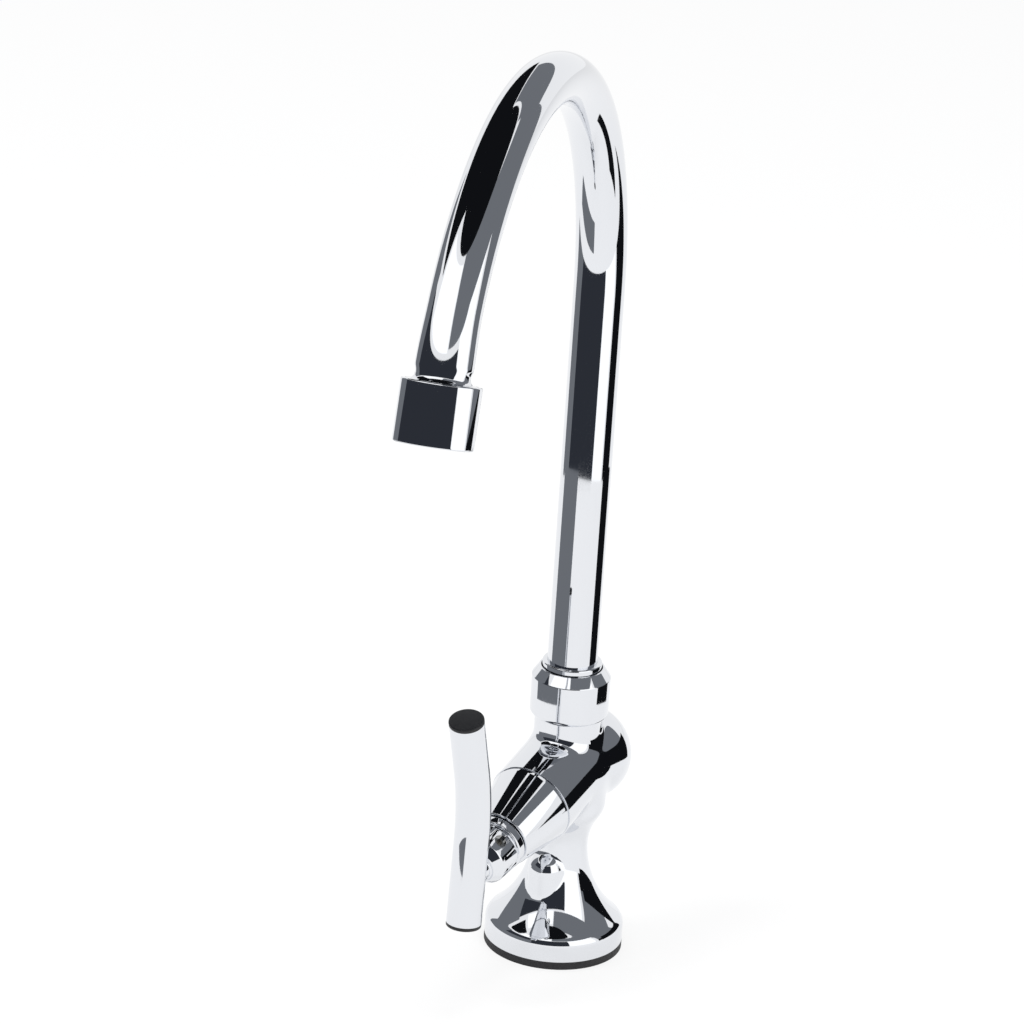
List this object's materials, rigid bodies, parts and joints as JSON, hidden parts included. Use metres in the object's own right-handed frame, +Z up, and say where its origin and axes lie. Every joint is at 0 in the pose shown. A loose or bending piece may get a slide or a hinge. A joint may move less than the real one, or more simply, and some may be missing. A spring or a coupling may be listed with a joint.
{
  "type": "gooseneck bar faucet",
  "caption": "Single cold-water deck faucet with a swivelling gooseneck spout, an aerator and a lever that turns a ceramic-disc valve in a sloping front barrel.",
  "frame": {"origin": "centre of the inlet's mouth, in the plane that the foot's rubber ring stands on", "axes": "+Z up along the foot, riser and spout swivel; -Y is the front, where the valve barrel and lever point; the spout is shown swung 14 degrees from -Y towards +X"},
  "size_m": [0.0777, 0.2147, 0.322],
  "materials": {
    "chrome": "mirror chrome plate",
    "brass": "machined",
    "black_rubber": "matte",
    "black_plastic": "satin",
    "white_ceramic": "lapped",
    "nylon": "satin",
    "pale_plastic": "satin",
    "stainless": "bright"
  },
  "bodies": {
    "body": {"faucet_body": "chrome", "base_gasket": "black_rubber", "seat_seal": "black_rubber", "fixed_disc": "white_ceramic", "cartridge_housing": "brass", "housing_o_ring": "black_rubber", "bonnet": "chrome", "spout_nut": "chrome", "swivel_washer": "nylon"},
    "handle": {"moving_disc": "white_ceramic", "valve_stem": "brass", "thrust_washer": "nylon", "stem_o_ring": "black_rubber", "stem_clip": "stainless", "handle_hub": "chrome", "hub_grub_screw": "stainless", "handle_lever": "chrome", "lever_top_plug": "black_plastic", "lever_foot_plug": "black_plastic"},
    "spout": {"spout_tube": "chrome", "spout_collar": "chrome", "spout_o_rings": "black_rubber", "outlet_ferrule": "chrome", "aerator_housing": "chrome", "aerator_washer": "black_rubber", "aerator_screens": "stainless", "aerator_insert": "pale_plastic"}
  },
  "joints": [
    {"name": "spout_swivel", "type": "hinge", "parent": "body", "child": "spout", "pos_m": [0, 0, 0.08], "axis": [0, 0, 1], "continuous": true},
    {"name": "lever_turn", "type": "hinge", "parent": "body", "child": "handle", "pos_m": [0, 0, 0.062], "axis": [0, -0.9613, -0.2756], "range_deg": [0, 90]}
  ]
}
